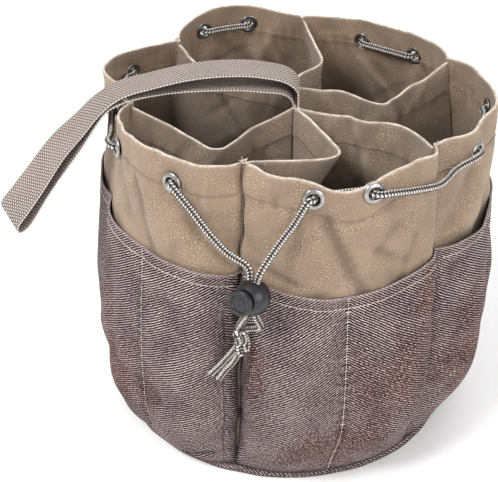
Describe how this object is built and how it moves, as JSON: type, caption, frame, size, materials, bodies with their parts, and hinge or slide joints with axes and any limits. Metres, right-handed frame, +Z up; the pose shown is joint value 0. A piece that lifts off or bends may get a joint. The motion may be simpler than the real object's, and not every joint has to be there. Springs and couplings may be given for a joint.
{
  "type": "drawstring tool bucket organizer",
  "caption": "Round soft canvas tool bucket with radial divider compartments, outside pockets, a webbing carry loop and an eyeleted drawstring with a sprung cord lock.",
  "frame": {"origin": "centre of the base, on the surface that the bag stands on", "axes": "+Z up, towards the open rim; -Y towards the front seam, under which the cord lock hangs; +X to the right of the front seam, seen from the front"},
  "size_m": [0.3533, 0.3342, 0.2784],
  "materials": {
    "canvas": "matt plain-weave cotton canvas, tan",
    "pocket_cloth": "matt twill, red-brown flecked with grey",
    "webbing": "ribbed flat webbing, grey-beige",
    "cord": "braided round cord, grey with dark and light flecks",
    "nickel": "nickel plated, slightly dulled",
    "black_plastic": "moulded black plastic, satin"
  },
  "bodies": {
    "bag": {"canvas_panel_1": "canvas", "canvas_panel_2": "canvas", "canvas_panel_3": "canvas", "canvas_panel_4": "canvas", "canvas_panel_5": "canvas", "canvas_panel_6": "canvas", "pocket_panel_1": "pocket_cloth", "pocket_panel_2": "pocket_cloth", "pocket_panel_3": "pocket_cloth", "pocket_panel_4": "pocket_cloth", "pocket_panel_5": "pocket_cloth", "pocket_panel_6": "pocket_cloth", "centre_panel": "canvas", "handle_end_near": "webbing", "handle_end_far": "webbing", "divider_1": "canvas", "divider_2": "canvas", "divider_3": "canvas", "divider_4": "canvas", "divider_5": "canvas", "divider_6": "canvas", "base_disc": "pocket_cloth", "base_lining": "canvas", "base_binding": "pocket_cloth", "eyelet_01": "nickel", "eyelet_washer_01": "nickel", "eyelet_02": "nickel", "eyelet_washer_02": "nickel", "eyelet_03": "nickel", "eyelet_washer_03": "nickel", "eyelet_04": "nickel", "eyelet_washer_04": "nickel", "eyelet_05": "nickel", "eyelet_washer_05": "nickel", "eyelet_06": "nickel", "eyelet_washer_06": "nickel", "eyelet_07": "nickel", "eyelet_washer_07": "nickel", "eyelet_08": "nickel", "eyelet_washer_08": "nickel", "eyelet_09": "nickel", "eyelet_washer_09": "nickel", "eyelet_10": "nickel", "eyelet_washer_10": "nickel", "eyelet_11": "nickel", "eyelet_washer_11": "nickel", "eyelet_12": "nickel", "eyelet_washer_12": "nickel", "drawstring": "cord", "cord_left": "cord", "cord_right": "cord", "cord_knot": "cord"},
    "cord_lock": {"cord_lock_body": "black_plastic", "cord_lock_spring": "nickel"},
    "lock_button": {"cord_lock_button": "black_plastic"},
    "handle": {"handle_webbing": "webbing"}
  },
  "joints": [
    {"name": "handle_swing", "type": "hinge", "parent": "bag", "child": "handle", "pos_m": [0.00192, 0.00055, 0.2565], "axis": [-0.2756, 0.9613, 0], "range_deg": [0, 90]},
    {"name": "lock_slide", "type": "slide", "parent": "bag", "child": "cord_lock", "axis": [0, 0.2419, 0.9703], "range_m": [-0.01, 0.02], "deforming": ["cord_left", "cord_right"]},
    {"name": "button_press", "type": "slide", "parent": "cord_lock", "child": "lock_button", "axis": [0.2834, 0.9305, -0.232], "range_m": [0, 0.003], "stiffness_N_per_m": 900, "springref_m": -0.002, "deforming": ["cord_lock_spring"]}
  ]
}
